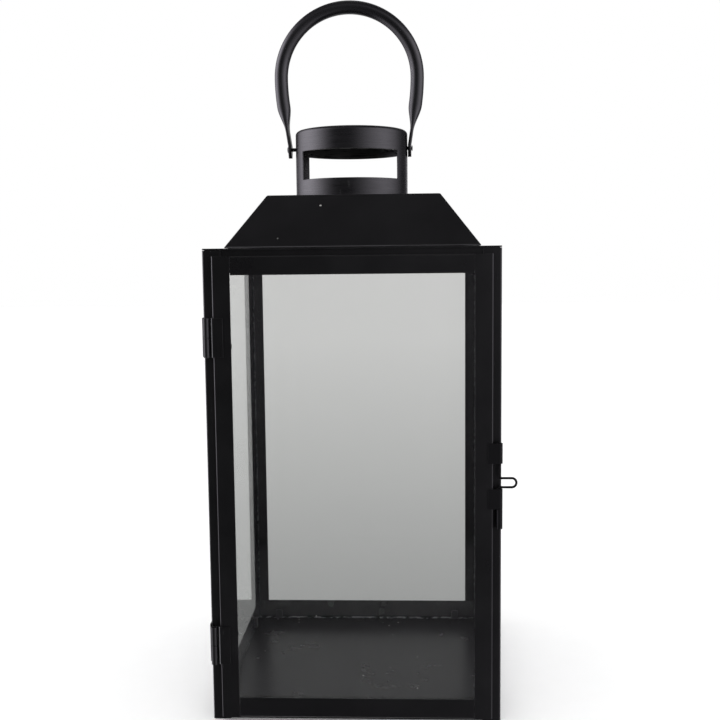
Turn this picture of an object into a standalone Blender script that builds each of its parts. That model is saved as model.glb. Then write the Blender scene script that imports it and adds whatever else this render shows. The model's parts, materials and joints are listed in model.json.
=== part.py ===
"""Square candle lantern: folded sheet body, hinged glass door, hood, vent crown and bail handle."""
import math

import bmesh
import bpy
from mathutils import Matrix, Vector

MM = 0.001

# ---- driving dimensions -------------------------------------------------
gap = 0.3 * MM                   # clearance between neighbouring pieces
sheet = 0.8 * MM                 # folded sheet thickness
half = 100.0 * MM                # half of the body width and depth
body_top = 327.4 * MM            # top of the ledge ring
leg = 12.5 * MM                  # leg width of the corner posts
fold = 1.2 * MM                  # outside radius of the folds

pan_wall_top = 16.7 * MM
pan_front_lip = 10.5 * MM         # the front wall is lower, hidden behind the door
skirt_bottom = 311.0 * MM
ring_plate = 1.0 * MM
ring_hole_half = 86.0 * MM

hood_base_half = 87.6 * MM
hood_top_half = 60.7 * MM
hood_height = 36.8 * MM
hood_hole_radius = 36.0 * MM

crown_x = -3.8 * MM              # the crown stands a little left of the centre line
crown_radius = 42.1 * MM
crown_wall = 1.0 * MM
crown_height = 50.0 * MM
crown_corner = 3.0 * MM
crown_window_low = 13.0 * MM
crown_window_high = 33.5 * MM
crown_window_half = 35.0 * MM

glass = 2.5 * MM
pane_top = 324.0 * MM

door_x = 0.55 * MM                # the door hangs a little towards the latch
door_half = 93.45 * MM
door_low = 3.8 * MM
door_high = 322.1 * MM
door_stile_width = 12.2 * MM
door_rail_widths = {"bottom": 13.8 * MM, "top": 12.5 * MM}
door_depth = 5.0 * MM
door_back_y = -half - 0.4 * MM

hinge_height = 26.4 * MM
hinge_centres = (268.0 * MM, 55.2 * MM)
hinge_x = -97.1 * MM
hinge_y = -106.0 * MM
barrel_radius = 2.1 * MM
bore_radius = 1.2 * MM
hinge_pin_radius = 0.9 * MM
leaf = 0.6 * MM

latch_x = 98.3 * MM
latch_y = -104.2 * MM
guide_height = 13.7 * MM
guide_upper_low = 182.2 * MM
guide_lower_low = 151.1 * MM
keeper_low = 137.5 * MM
keeper_high = 150.8 * MM
wire_radius = 0.8 * MM
bolt_top = 193.7 * MM
bolt_tip = 144.2 * MM
loop_arm_high = 172.1 * MM
loop_arm_low = 165.9 * MM
loop_reach = 109.6 * MM
keeper_left = 95.0 * MM            # the keeper's leaf starts clear of the door's edge

handle_x = -5.1 * MM
handle_radius = 51.05 * MM
handle_centre_z = 454.9 * MM
tube_radius = 5.0 * MM
strap_half_thickness = 1.3 * MM
strap_half_width = 6.5 * MM
pivot_z = 402.0 * MM
leg_bottom_z = 431.0 * MM
leg_inset = 1.95 * MM
strap_slope = 0.15
strap_straight_z = 404.0 * MM     # below this the strap runs straight down
rivet_radius = 1.35 * MM

# ---- clean start ----------------------------------------------------------
for old in list(bpy.data.objects):
    bpy.data.objects.remove(old, do_unlink=True)

scene = bpy.context.scene
scene.unit_settings.system = 'METRIC'
parts = bpy.data.collections.new("candle_lantern")
scene.collection.children.link(parts)
cutters = bpy.data.collections.new("cutters")
scene.collection.children.link(cutters)


# ---- helpers ----------------------------------------------------------------
def material(name, colour, roughness, metallic=0.0, transmission=0.0):
    mat = bpy.data.materials.new(name)
    mat.use_nodes = True
    shader = mat.node_tree.nodes["Principled BSDF"]
    shader.inputs["Base Color"].default_value = (*colour, 1.0)
    shader.inputs["Roughness"].default_value = roughness
    shader.inputs["Metallic"].default_value = metallic
    shader.inputs["Transmission Weight"].default_value = transmission
    mat.diffuse_color = (*colour, 1.0)
    return mat


def add_object(name, mesh, mat, origin=(0.0, 0.0, 0.0), collection=None):
    """Link a mesh whose vertices are given in world metres, with its origin moved to the given point."""
    mesh.transform(Matrix.Translation(-Vector(origin)))
    obj = bpy.data.objects.new(name, mesh)
    obj.location = origin
    if mat is not None:
        obj.data.materials.append(mat)
    (collection or parts).objects.link(obj)
    return obj


def to_mesh(name, bm):
    bmesh.ops.recalc_face_normals(bm, faces=bm.faces)
    mesh = bpy.data.meshes.new(name)
    bm.to_mesh(mesh)
    bm.free()
    return mesh


def box_mesh(name, low, high):
    bm = bmesh.new()
    bmesh.ops.create_cube(bm, size=1.0)
    size = Vector(high) - Vector(low)
    centre = (Vector(high) + Vector(low)) / 2
    bmesh.ops.scale(bm, vec=size, verts=bm.verts)
    bmesh.ops.translate(bm, vec=centre, verts=bm.verts)
    return to_mesh(name, bm)


def cylinder_mesh(name, centre, radius, depth, axis='Z', segments=48, radius2=None):
    turn = {'X': Matrix.Rotation(math.pi / 2, 4, 'Y'),
            'Y': Matrix.Rotation(math.pi / 2, 4, 'X'),
            'Z': Matrix.Identity(4)}[axis]
    bm = bmesh.new()
    bmesh.ops.create_cone(bm, cap_ends=True, segments=segments, radius1=radius,
                          radius2=radius if radius2 is None else radius2, depth=depth,
                          matrix=Matrix.Translation(centre) @ turn)
    return to_mesh(name, bm)


def outline_mesh(name, loops, depth, place=None):
    """Extrude closed outlines from local z = 0 to z = depth, then set the result in place."""
    curve = bpy.data.curves.new(name + "_outline", 'CURVE')
    curve.dimensions = '2D'
    curve.fill_mode = 'BOTH'
    curve.extrude = depth / 2
    for loop in loops:
        spline = curve.splines.new('POLY')
        spline.points.add(len(loop) - 1)
        for point, (u, v) in zip(spline.points, loop):
            point.co = (u, v, 0.0, 1.0)
        spline.use_cyclic_u = True
    carrier = bpy.data.objects.new(name + "_carrier", curve)
    scene.collection.objects.link(carrier)
    bpy.context.view_layer.update()
    mesh = bpy.data.meshes.new_from_object(carrier.evaluated_get(bpy.context.evaluated_depsgraph_get()))
    bpy.data.objects.remove(carrier, do_unlink=True)
    bpy.data.curves.remove(curve)
    bm = bmesh.new()
    bm.from_mesh(mesh)
    bpy.data.meshes.remove(mesh)
    bmesh.ops.remove_doubles(bm, verts=bm.verts, dist=1e-6)
    shift = Matrix.Translation((0.0, 0.0, depth / 2))
    bmesh.ops.transform(bm, matrix=(place or Matrix.Identity(4)) @ shift, verts=bm.verts)
    return to_mesh(name, bm)


def axes(origin, u, v):
    """Matrix that carries local x to u, local y to v and local z to u cross v."""
    u = Vector(u)
    v = Vector(v)
    rows = Matrix((u, v, u.cross(v))).transposed().to_4x4()
    return Matrix.Translation(origin) @ rows


def boolean(obj, tool_mesh, operation='DIFFERENCE'):
    tool = add_object(obj.name + "_tool_" + str(len(obj.modifiers)), tool_mesh, None, collection=cutters)
    tool.hide_render = True
    tool.display_type = 'WIRE'
    mod = obj.modifiers.new(operation.title(), 'BOOLEAN')
    mod.operation = operation
    mod.solver = 'EXACT'
    mod.object = tool
    return mod


def bevel(obj, width, segments=3, angle=0.6):
    mod = obj.modifiers.new("Bevel", 'BEVEL')
    mod.width = width
    mod.segments = segments
    mod.limit_method = 'ANGLE'
    mod.angle_limit = angle
    return mod


def shade_round(obj, angle=0.6):
    obj.data.shade_smooth()
    obj.data.set_sharp_from_angle(angle=angle)


def rounded_rect(half_u, half_v, radius, steps=4, centre=(0.0, 0.0)):
    points = []
    for quarter in range(4):
        su = (1, -1, -1, 1)[quarter]
        sv = (1, 1, -1, -1)[quarter]
        for k in range(steps + 1):
            a = (quarter + k / steps) * math.pi / 2
            points.append((centre[0] + su * (half_u - radius) + radius * math.cos(a),
                           centre[1] + sv * (half_v - radius) + radius * math.sin(a)))
    return points


def angle_outline(length_u, length_v, thick, radius, steps=4):
    """L section with its outside corner at the origin, legs along +u and +v, rounded fold."""
    outside = []
    inside = []
    for k in range(steps + 1):
        a = math.pi + k / steps * math.pi / 2
        outside.append((radius + radius * math.cos(a), radius + radius * math.sin(a)))
        b = 1.5 * math.pi - k / steps * math.pi / 2
        inner = radius - thick
        inside.append((radius + inner * math.cos(b), radius + inner * math.sin(b)))
    return outside + [(length_u, 0.0), (length_u, thick)] + inside + [(thick, length_v), (0.0, length_v)]


def lathe(name, profile, mat, centre, turn=(0.0, 0.0, 0.0), steps=64):
    """Turn an open profile (radius, height) that starts and ends on the axis."""
    mesh = bpy.data.meshes.new(name)
    verts = [(r, 0.0, z) for r, z in profile]
    mesh.from_pydata(verts, [(k, k + 1) for k in range(len(verts) - 1)], [])
    obj = bpy.data.objects.new(name, mesh)
    obj.location = centre
    obj.rotation_euler = turn
    mesh.materials.append(mat)
    parts.objects.link(obj)
    mod = obj.modifiers.new("Screw", 'SCREW')
    mod.axis = 'Z'
    mod.angle = 2 * math.pi
    mod.steps = steps
    mod.render_steps = steps
    mod.use_merge_vertices = True
    mod.merge_threshold = 0.00001
    mod.use_smooth_shade = True
    return obj


# ---- materials ----------------------------------------------------------------
paint = material("black_satin_paint", (0.011, 0.012, 0.014), 0.42)
paint_dark = material("black_paint_inside", (0.010, 0.010, 0.011), 0.55)
hardware = material("blackened_steel", (0.020, 0.020, 0.022), 0.38, metallic=0.6)
pane_glass = material("clear_glass", (0.80, 0.88, 0.85), 0.03, transmission=1.0)

# ---- base pan -------------------------------------------------------------------
pan_half = half - sheet - gap
pan = add_object("base_pan", box_mesh("base_pan", (-pan_half, -pan_half, 0.0),
                                      (pan_half, pan_half, pan_wall_top)), paint)
pan_in = pan_half - sheet
boolean(pan, box_mesh("pan_room", (-pan_in, -pan_in, sheet), (pan_in, pan_in, pan_wall_top + 0.01)))
boolean(pan, box_mesh("pan_front_cut", (-pan_in, -half - 0.01, pan_front_lip), (pan_in, 0.0, pan_wall_top + 0.02)))

# ---- corner posts ---------------------------------------------------------------
post_top = body_top - ring_plate - gap
post_section = angle_outline(leg, leg, sheet, fold)
for side_y, word_y in ((-1, "front"), (1, "back")):
    for side_x, word_x in ((-1, "left"), (1, "right")):
        name = "post_" + word_y + "_" + word_x
        section = [(side_x * (half - u), side_y * (half - v)) for u, v in post_section]
        post = add_object(name, outline_mesh(name, [section], post_top), paint,
                          origin=(side_x * half, side_y * half, 0.0))
        shade_round(post)

# ---- ledge ring on top of the posts ------------------------------------------------
ring_low = body_top - ring_plate
ring = add_object("ledge_ring", outline_mesh(
    "ledge_ring", [rounded_rect(half, half, fold), rounded_rect(ring_hole_half, ring_hole_half, fold)],
    ring_plate, Matrix.Translation((0.0, 0.0, ring_low))), paint, origin=(0.0, 0.0, ring_low))
skirt_out = half - sheet - gap
skirt = outline_mesh("ring_skirt", [rounded_rect(skirt_out, skirt_out, fold),
                                    rounded_rect(skirt_out - sheet, skirt_out - sheet, fold - sheet + gap)],
                     ring_low + ring_plate / 2 - skirt_bottom,
                     Matrix.Translation((0.0, 0.0, skirt_bottom)))
boolean(ring, skirt, 'UNION')

# ---- hood ------------------------------------------------------------------------
root2 = math.sqrt(2.0)
hood_low = body_top + gap
hood_high = hood_low + hood_height
spread = (hood_base_half - hood_top_half) / hood_height
slant = sheet * math.sqrt(1 + spread * spread)


def frustum_mesh(name, low_half, high_half, low_z, high_z):
    bm = bmesh.new()
    bmesh.ops.create_cone(bm, cap_ends=True, segments=4, radius1=low_half * root2, radius2=high_half * root2,
                          depth=high_z - low_z,
                          matrix=Matrix.Translation((0.0, 0.0, (low_z + high_z) / 2))
                          @ Matrix.Rotation(math.pi / 4, 4, 'Z'))
    return to_mesh(name, bm)


hood = add_object("hood", frustum_mesh("hood", hood_base_half, hood_top_half, hood_low, hood_high), paint,
                  origin=(0.0, 0.0, hood_low))
bevel(hood, 0.8 * MM, segments=3, angle=0.35)
boolean(hood, frustum_mesh("hood_room", hood_base_half - slant + 0.01 * spread,
                           hood_top_half - slant + sheet * spread,
                           hood_low - 0.01, hood_high - sheet))
boolean(hood, cylinder_mesh("hood_vent", (crown_x, 0.0, hood_high), hood_hole_radius, 0.02, segments=64))

# ---- crown --------------------------------------------------------------------------
crown_low = hood_high + gap
crown_high = crown_low + crown_height
inner_corner = crown_corner - crown_wall
crown_profile = [(0.0, crown_height)]
for k in range(7):
    a = math.pi / 2 - k / 6 * math.pi / 2
    crown_profile.append((crown_radius - crown_corner + crown_corner * math.cos(a),
                          crown_height - crown_corner + crown_corner * math.sin(a)))
crown_profile += [(crown_radius, 1.2 * MM), (crown_radius + 0.5 * MM, 0.4 * MM), (crown_radius + 0.9 * MM, 0.0),
                  (crown_radius - crown_wall, 0.0)]
for k in range(7):
    a = k / 6 * math.pi / 2
    crown_profile.append((crown_radius - crown_corner + inner_corner * math.cos(a),
                          crown_height - crown_corner + inner_corner * math.sin(a)))
crown_profile.append((0.0, crown_height - crown_wall))
crown = lathe("vent_crown", crown_profile, paint, (crown_x, 0.0, crown_low), steps=72)
boolean(crown, box_mesh("crown_windows", (crown_x - crown_window_half, -0.06, crown_low + crown_window_low),
                        (crown_x + crown_window_half, 0.06, crown_low + crown_window_high)))
boolean(crown, cylinder_mesh("crown_rivet_holes", (crown_x, 0.0, pivot_z), rivet_radius + gap, 0.1, 'X',
                             segments=24))

# ---- rivets that carry the handle -----------------------------------------------------
strap_offset = handle_radius - leg_inset - strap_slope * (leg_bottom_z - strap_straight_z)
for side, word in ((-1, "left"), (1, "right")):
    strap_outer = side * (handle_x - crown_x) + strap_offset + strap_half_thickness
    start = crown_radius - crown_wall - gap - 1.0 * MM
    end = strap_outer + gap + 0.7 * MM
    neck = [(0.0, start), (2.6 * MM, start), (2.6 * MM, start + 0.8 * MM), (rivet_radius, start + 1.0 * MM),
            (rivet_radius, strap_outer + gap), (2.3 * MM, strap_outer + gap),
            (2.1 * MM, end - 0.3 * MM), (1.2 * MM, end), (0.0, end)]
    lathe("handle_rivet_" + word, list(reversed(neck)), hardware, (crown_x, 0.0, pivot_z),
          turn=(0.0, side * math.pi / 2, 0.0), steps=32)

# ---- handle -----------------------------------------------------------------------------


def handle_station(z):
    """Centre offset from the handle's middle plane for a height on the straight leg."""
    if z >= leg_bottom_z:
        return handle_radius - leg_inset * ((handle_centre_z - z) / (handle_centre_z - leg_bottom_z)) ** 2
    return handle_radius - leg_inset - strap_slope * (leg_bottom_z - max(z, strap_straight_z))


def smooth(t):
    t = max(0.0, min(1.0, t))
    return t * t * (3 - 2 * t)


def handle_half_stations():
    """Sections of the right half from strap end to the top: centre u, z, half sizes."""
    rows = []
    end_z = pivot_z - strap_half_width + 0.12 * MM
    heights = [end_z + (pivot_z - end_z) * (1 - math.cos(k / 8 * math.pi / 2)) for k in range(8)]
    heights += [pivot_z, strap_straight_z, 408 * MM, 412 * MM]
    heights += [(414 + k) * MM for k in range(0, 22)]
    heights += [440 * MM, 446 * MM, 451 * MM]
    for z in heights:
        pinch = smooth((z - 415 * MM) / (434 * MM - 415 * MM))
        thick = strap_half_thickness + (tube_radius - strap_half_thickness) * pinch
        wide = strap_half_width + (tube_radius - strap_half_width) * pinch
        if z < pivot_z:
            wide = math.sqrt(max(strap_half_width ** 2 - (pivot_z - z) ** 2, (1.2 * MM) ** 2))
        rows.append((handle_station(z), z, thick, wide, 1 - pinch))
    for k in range(0, 13):
        a = k / 12 * math.pi / 2
        rows.append((handle_radius * math.cos(a), handle_centre_z + handle_radius * math.sin(a),
                     tube_radius, tube_radius, 0.0))
    return rows


def handle_mesh(name):
    right = handle_half_stations()
    rows = right + [(-u, z, a, b, f) for u, z, a, b, f in reversed(right[:-1])]
    around = 20
    bm = bmesh.new()
    rings = []
    for k, (u, z, thick, wide, flat) in enumerate(rows):
        before = rows[max(k - 1, 0)]
        after = rows[min(k + 1, len(rows) - 1)]
        tangent = Vector((after[0] - before[0], 0.0, after[1] - before[1])).normalized()
        normal = Vector((tangent.z, 0.0, -tangent.x))
        power = 1.0 - 0.45 * flat
        ring_verts = []
        for j in range(around):
            a = 2 * math.pi * j / around
            c = math.copysign(abs(math.cos(a)) ** power, math.cos(a))
            s = math.copysign(abs(math.sin(a)) ** power, math.sin(a))
            spot = Vector((handle_x + u, 0.0, z)) + normal * (thick * c) + Vector((0.0, wide * s, 0.0))
            ring_verts.append(bm.verts.new(spot))
        rings.append(ring_verts)
    for low, high in zip(rings, rings[1:]):
        for j in range(around):
            i = (j + 1) % around
            bm.faces.new((low[j], low[i], high[i], high[j]))
    bm.faces.new(list(reversed(rings[0])))
    bm.faces.new(rings[-1])
    return to_mesh(name, bm)


handle = add_object("handle_bail", handle_mesh("handle_bail"), paint, origin=(handle_x, 0.0, pivot_z))
shade_round(handle, 0.7)
boolean(handle, cylinder_mesh("handle_holes", (handle_x, 0.0, pivot_z), rivet_radius + gap, 0.12, 'X', segments=24))

# ---- fixed glass -------------------------------------------------------------------------
pane_out = pan_in - gap
pane_in = pane_out - glass
pane_low = sheet + gap
add_object("glass_back", box_mesh("glass_back", (-pane_in + gap, pane_in, pane_low),
                                  (pane_in - gap, pane_out, pane_top)), pane_glass, origin=(0.0, pane_out, 0.0))
for side, word in ((-1, "left"), (1, "right")):
    xs = sorted((side * pane_in, side * pane_out))
    add_object("glass_" + word, box_mesh("glass_" + word, (xs[0], -96.0 * MM, pane_low),
                                         (xs[1], pane_out, pane_top)), pane_glass,
               origin=(side * pane_out, 0.0, 0.0))


def tab_outline(width, height, up=1):
    radius = width / 2 * 0.7
    points = [(-width / 2, 0.0), (width / 2, 0.0)]
    for k in range(5):
        a = k / 4 * math.pi / 2
        points.append((width / 2 - radius + radius * math.cos(a), up * (height - radius + radius * math.sin(a))))
    for k in range(5):
        a = math.pi / 2 + k / 4 * math.pi / 2
        points.append((-width / 2 + radius + radius * math.cos(a), up * (height - radius + radius * math.sin(a))))
    return points


# tabs that hold each fixed pane: two from the floor, two from under the ledge
tab_in = pane_in - gap - sheet
places = (("back", (1, 0, 0), (0, 1, 0)), ("left", (0, 1, 0), (-1, 0, 0)), ("right", (0, -1, 0), (1, 0, 0)))
for word, along, outward in places:
    for spot, letter in ((-78.0 * MM, "a"), (78.0 * MM, "b")):
        if word != "back" and spot * along[1] > 0:
            spot = math.copysign(72.0 * MM, spot)
        for level, start, up in (("low", pane_low, 1), ("high", ring_low - gap, -1)):
            base = Vector(along) * spot + Vector(outward) * (tab_in + sheet)
            place = axes((base.x, base.y, start), along, (0, 0, 1))
            sign = Vector(along).cross(Vector((0, 0, 1))).dot(Vector(outward))
            if sign > 0:
                place = place @ Matrix.Translation((0.0, 0.0, -sheet))
            name = "pane_tab_" + word + "_" + level + "_" + letter
            add_object(name, outline_mesh(name, [tab_outline(6.0 * MM, 8.0 * MM, up)], sheet, place), paint_dark,
                       origin=base + Vector((0.0, 0.0, start)))

# ---- door ----------------------------------------------------------------------------------
door_front_y = door_back_y - door_depth
for side, word in ((-1, "left"), (1, "right")):
    section = [(door_x + side * (door_half - u), door_front_y + v)
               for u, v in angle_outline(door_stile_width, door_depth, sheet, 1.0 * MM)]
    name = "door_stile_" + word
    stile = add_object(name, outline_mesh(name, [section], door_high - door_low,
                                          Matrix.Translation((0.0, 0.0, door_low))), paint,
                       origin=(door_x + side * door_half, door_front_y, door_low))
    shade_round(stile)
rail_half = door_half - door_stile_width - gap
for side, word, edge in ((-1, "bottom", door_low), (1, "top", door_high)):
    section = [(door_front_y + v, edge - side * u)
               for u, v in angle_outline(door_rail_widths[word], door_depth, sheet, 1.0 * MM)]
    name = "door_rail_" + word
    rail = add_object(name, outline_mesh(name, [section], 2 * rail_half,
                                         axes((door_x - rail_half, 0.0, 0.0), (0, 1, 0), (0, 0, 1))), paint,
                      origin=(door_x, door_front_y, edge))
    shade_round(rail)
glass_front_y = door_front_y + sheet + gap
door_glass_half = door_half - sheet - gap
add_object("door_glass", box_mesh("door_glass", (door_x - door_glass_half, glass_front_y, door_low + sheet + gap),
                                  (door_x + door_glass_half, glass_front_y + glass, door_high - sheet - gap)),
           pane_glass, origin=(door_x, glass_front_y, door_low))
tab_y = glass_front_y + glass + gap
for side, word in ((-1, "left"), (1, "right")):
    for level, height in (("low", 62.0 * MM), ("high", 262.0 * MM)):
        name = "door_tab_" + word + "_" + level
        place = axes((door_x + side * (door_half - sheet - gap), tab_y, height), (0, 0, 1), (-side, 0, 0))
        if side > 0:
            place = place @ Matrix.Translation((0.0, 0.0, -0.6 * MM))
        mesh = outline_mesh(name, [tab_outline(6.0 * MM, 11.0 * MM)], 0.6 * MM, place)
        centre_y = sum(v.co.y for v in mesh.vertices) / len(mesh.vertices)
        mesh.transform(Matrix.Translation((0.0, tab_y + 0.3 * MM - centre_y, 0.0)))
        add_object(name, mesh, paint_dark, origin=(door_x + side * door_half, tab_y, height))


# ---- rolled eyes shared by hinges and latch ---------------------------------------------------
def eye_mesh(name, x, y, low, high):
    circle = [(x + barrel_radius * math.cos(2 * math.pi * k / 28), y + barrel_radius * math.sin(2 * math.pi * k / 28))
              for k in range(28)]
    bore = [(x + bore_radius * math.cos(2 * math.pi * k / 28), y + bore_radius * math.sin(2 * math.pi * k / 28))
            for k in range(28)]
    return outline_mesh(name, [circle, bore], high - low, Matrix.Translation((0.0, 0.0, low)))


side_leaf = -half - gap - leaf               # outer face of the leaf on the post's side
front_leaf = -half - gap - leaf              # outer face of its strip on the post's front
eye_left = hinge_x - barrel_radius
clear_x = hinge_x + barrel_radius + gap      # first place clear of the other leaf's eye
door_left = door_x - door_half
for centre, word in zip(hinge_centres, ("upper", "lower")):
    low = centre - hinge_height / 2
    high = centre + hinge_height / 2
    # frame leaf: lower eye, web back to the post, strip across its front, return along its side
    name = "hinge_frame_leaf_" + word
    frame_leaf = add_object(name, box_mesh(name, (side_leaf, front_leaf, low), (side_leaf + leaf, -90.0 * MM, high)),
                            hardware, origin=(hinge_x, hinge_y, centre))
    boolean(frame_leaf, box_mesh(name + "_strip", (side_leaf, front_leaf, low),
                                 (eye_left + leaf, front_leaf + leaf, high)), 'UNION')
    boolean(frame_leaf, box_mesh(name + "_back", (eye_left, hinge_y + barrel_radius + gap, low),
                                 (eye_left + leaf, front_leaf + leaf, high)), 'UNION')
    boolean(frame_leaf, box_mesh(name + "_web", (eye_left, hinge_y, low),
                                 (eye_left + leaf, front_leaf + leaf, centre - gap / 2)), 'UNION')
    boolean(frame_leaf, eye_mesh(name + "_eye", hinge_x, hinge_y, low, centre - gap / 2), 'UNION')
    # door leaf: upper eye, step back behind the barrel, round the door's edge, plate on its front
    name = "hinge_door_leaf_" + word
    plate_back = door_front_y - gap
    step_x = door_left - gap
    step_y = hinge_y + barrel_radius
    door_leaf = add_object(name, box_mesh(name, (step_x - leaf, plate_back - leaf, low),
                                          (-86.0 * MM, plate_back, high)),
                           hardware, origin=(hinge_x, hinge_y, centre))
    boolean(door_leaf, box_mesh(name + "_return", (step_x - leaf, plate_back - leaf, low),
                                (step_x, step_y, high)), 'UNION')
    boolean(door_leaf, box_mesh(name + "_step", (clear_x, step_y - leaf, low), (step_x, step_y, high)), 'UNION')
    boolean(door_leaf, box_mesh(name + "_web", (hinge_x, step_y - leaf, centre + gap / 2),
                                (step_x, step_y, high)), 'UNION')
    boolean(door_leaf, eye_mesh(name + "_eye", hinge_x, hinge_y, centre + gap / 2, high), 'UNION')
    pin = add_object("hinge_pin_" + word, cylinder_mesh("hinge_pin_" + word, (hinge_x, hinge_y, centre),
                                                        hinge_pin_radius, hinge_height + 0.6 * MM, segments=28),
                     hardware, origin=(hinge_x, hinge_y, centre))
    shade_round(pin)

# ---- latch -------------------------------------------------------------------------------------
for word, low in (("upper", guide_upper_low), ("lower", guide_lower_low)):
    name = "latch_guide_" + word
    guide = add_object(name, box_mesh(name, (90.5 * MM, door_front_y - gap - leaf, low),
                                      (latch_x, door_front_y - gap, low + guide_height)), hardware,
                       origin=(latch_x, latch_y, low))
    boolean(guide, eye_mesh(name + "_eye", latch_x, latch_y, low, low + guide_height), 'UNION')
# keeper: leaf on the front of the post, web forward along its right side, eye at the front
keeper_right = latch_x + barrel_radius
keeper = add_object("latch_keeper", box_mesh("latch_keeper", (keeper_left, front_leaf, keeper_low),
                                             (keeper_right, front_leaf + leaf, keeper_high)), hardware,
                    origin=(latch_x, latch_y, keeper_low))
boolean(keeper, box_mesh("latch_keeper_web", (keeper_right - leaf, latch_y, keeper_low),
                         (keeper_right, front_leaf + leaf, keeper_high)), 'UNION')
boolean(keeper, eye_mesh("latch_keeper_eye", latch_x, latch_y, keeper_low, keeper_high), 'UNION')


def bend(points, corner, first, second, radius, steps=5):
    """Add a rounded corner between the two unit directions leaving the corner point."""
    start = corner - first * radius
    end = corner + second * radius
    for k in range(steps + 1):
        a = k / steps * math.pi / 2
        points.append(start + first * (radius * math.sin(a)) + second * (radius * (1 - math.cos(a))))
    return end


down = Vector((0.0, 0.0, -1.0))
out = Vector((1.0, 0.0, 0.0))
bolt_points = [Vector((latch_x, latch_y, bolt_top))]
bend(bolt_points, Vector((latch_x, latch_y, loop_arm_high)), down, out, 1.4 * MM)
loop_radius = (loop_arm_high - loop_arm_low) / 2
loop_centre = Vector((loop_reach - loop_radius, latch_y, (loop_arm_high + loop_arm_low) / 2))
for k in range(13):
    a = math.pi / 2 - k / 12 * math.pi
    bolt_points.append(loop_centre + Vector((loop_radius * math.cos(a), 0.0, loop_radius * math.sin(a))))
bend(bolt_points, Vector((latch_x, latch_y, loop_arm_low)), -out, down, 1.0 * MM)
bolt_points.append(Vector((latch_x, latch_y, bolt_tip)))

bolt_origin = Vector((latch_x, latch_y, (loop_arm_high + loop_arm_low) / 2))
bolt_curve = bpy.data.curves.new("latch_bolt", 'CURVE')
bolt_curve.dimensions = '3D'
bolt_curve.bevel_depth = wire_radius
bolt_curve.bevel_resolution = 3
bolt_curve.use_fill_caps = True
bolt_spline = bolt_curve.splines.new('POLY')
bolt_spline.points.add(len(bolt_points) - 1)
for point, spot in zip(bolt_spline.points, bolt_points):
    point.co = (*(spot - bolt_origin), 1.0)
bolt = bpy.data.objects.new("latch_bolt", bolt_curve)
bolt.location = bolt_origin
bolt_curve.materials.append(hardware)
parts.objects.link(bolt)
bpy.context.view_layer.update()
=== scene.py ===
import json
import math

import bmesh
import bpy
from mathutils import Matrix, Vector


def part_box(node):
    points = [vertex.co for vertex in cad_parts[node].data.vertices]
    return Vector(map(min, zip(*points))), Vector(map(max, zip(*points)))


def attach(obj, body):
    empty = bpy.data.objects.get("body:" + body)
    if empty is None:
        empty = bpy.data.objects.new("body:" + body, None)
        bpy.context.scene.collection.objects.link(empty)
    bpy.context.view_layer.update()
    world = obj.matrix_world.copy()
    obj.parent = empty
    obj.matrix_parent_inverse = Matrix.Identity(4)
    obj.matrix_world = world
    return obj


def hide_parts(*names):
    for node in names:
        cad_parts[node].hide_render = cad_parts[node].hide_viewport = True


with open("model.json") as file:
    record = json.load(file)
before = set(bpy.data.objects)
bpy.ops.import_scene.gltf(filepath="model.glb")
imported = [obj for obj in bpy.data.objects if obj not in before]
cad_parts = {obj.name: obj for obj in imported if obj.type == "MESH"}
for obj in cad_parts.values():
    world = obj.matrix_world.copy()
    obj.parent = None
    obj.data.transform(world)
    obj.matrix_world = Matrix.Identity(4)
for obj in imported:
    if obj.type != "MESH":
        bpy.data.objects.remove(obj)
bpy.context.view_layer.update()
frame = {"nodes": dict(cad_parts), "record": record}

MM = 0.001
LEVEL = (1.0, 1.0, 0.0)     # multiplies a vector to drop its height
nodes = frame["nodes"]
joints = {joint["name"]: joint for joint in frame["record"]["behaviour"]["joints"]}
scene = bpy.context.scene

hood_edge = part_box("hood")[0].z
# centre of a small pit on the hood front, drawn only in colour: painted shade round a painted glint
hood_pit_glint = (-50.9 * MM, -83.0 * MM, 334.0 * MM)
hinge_x, hinge_y, _ = joints["door_hinge"]["pos_m"]

# ---------------------------------------------------------------- node helpers


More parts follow.
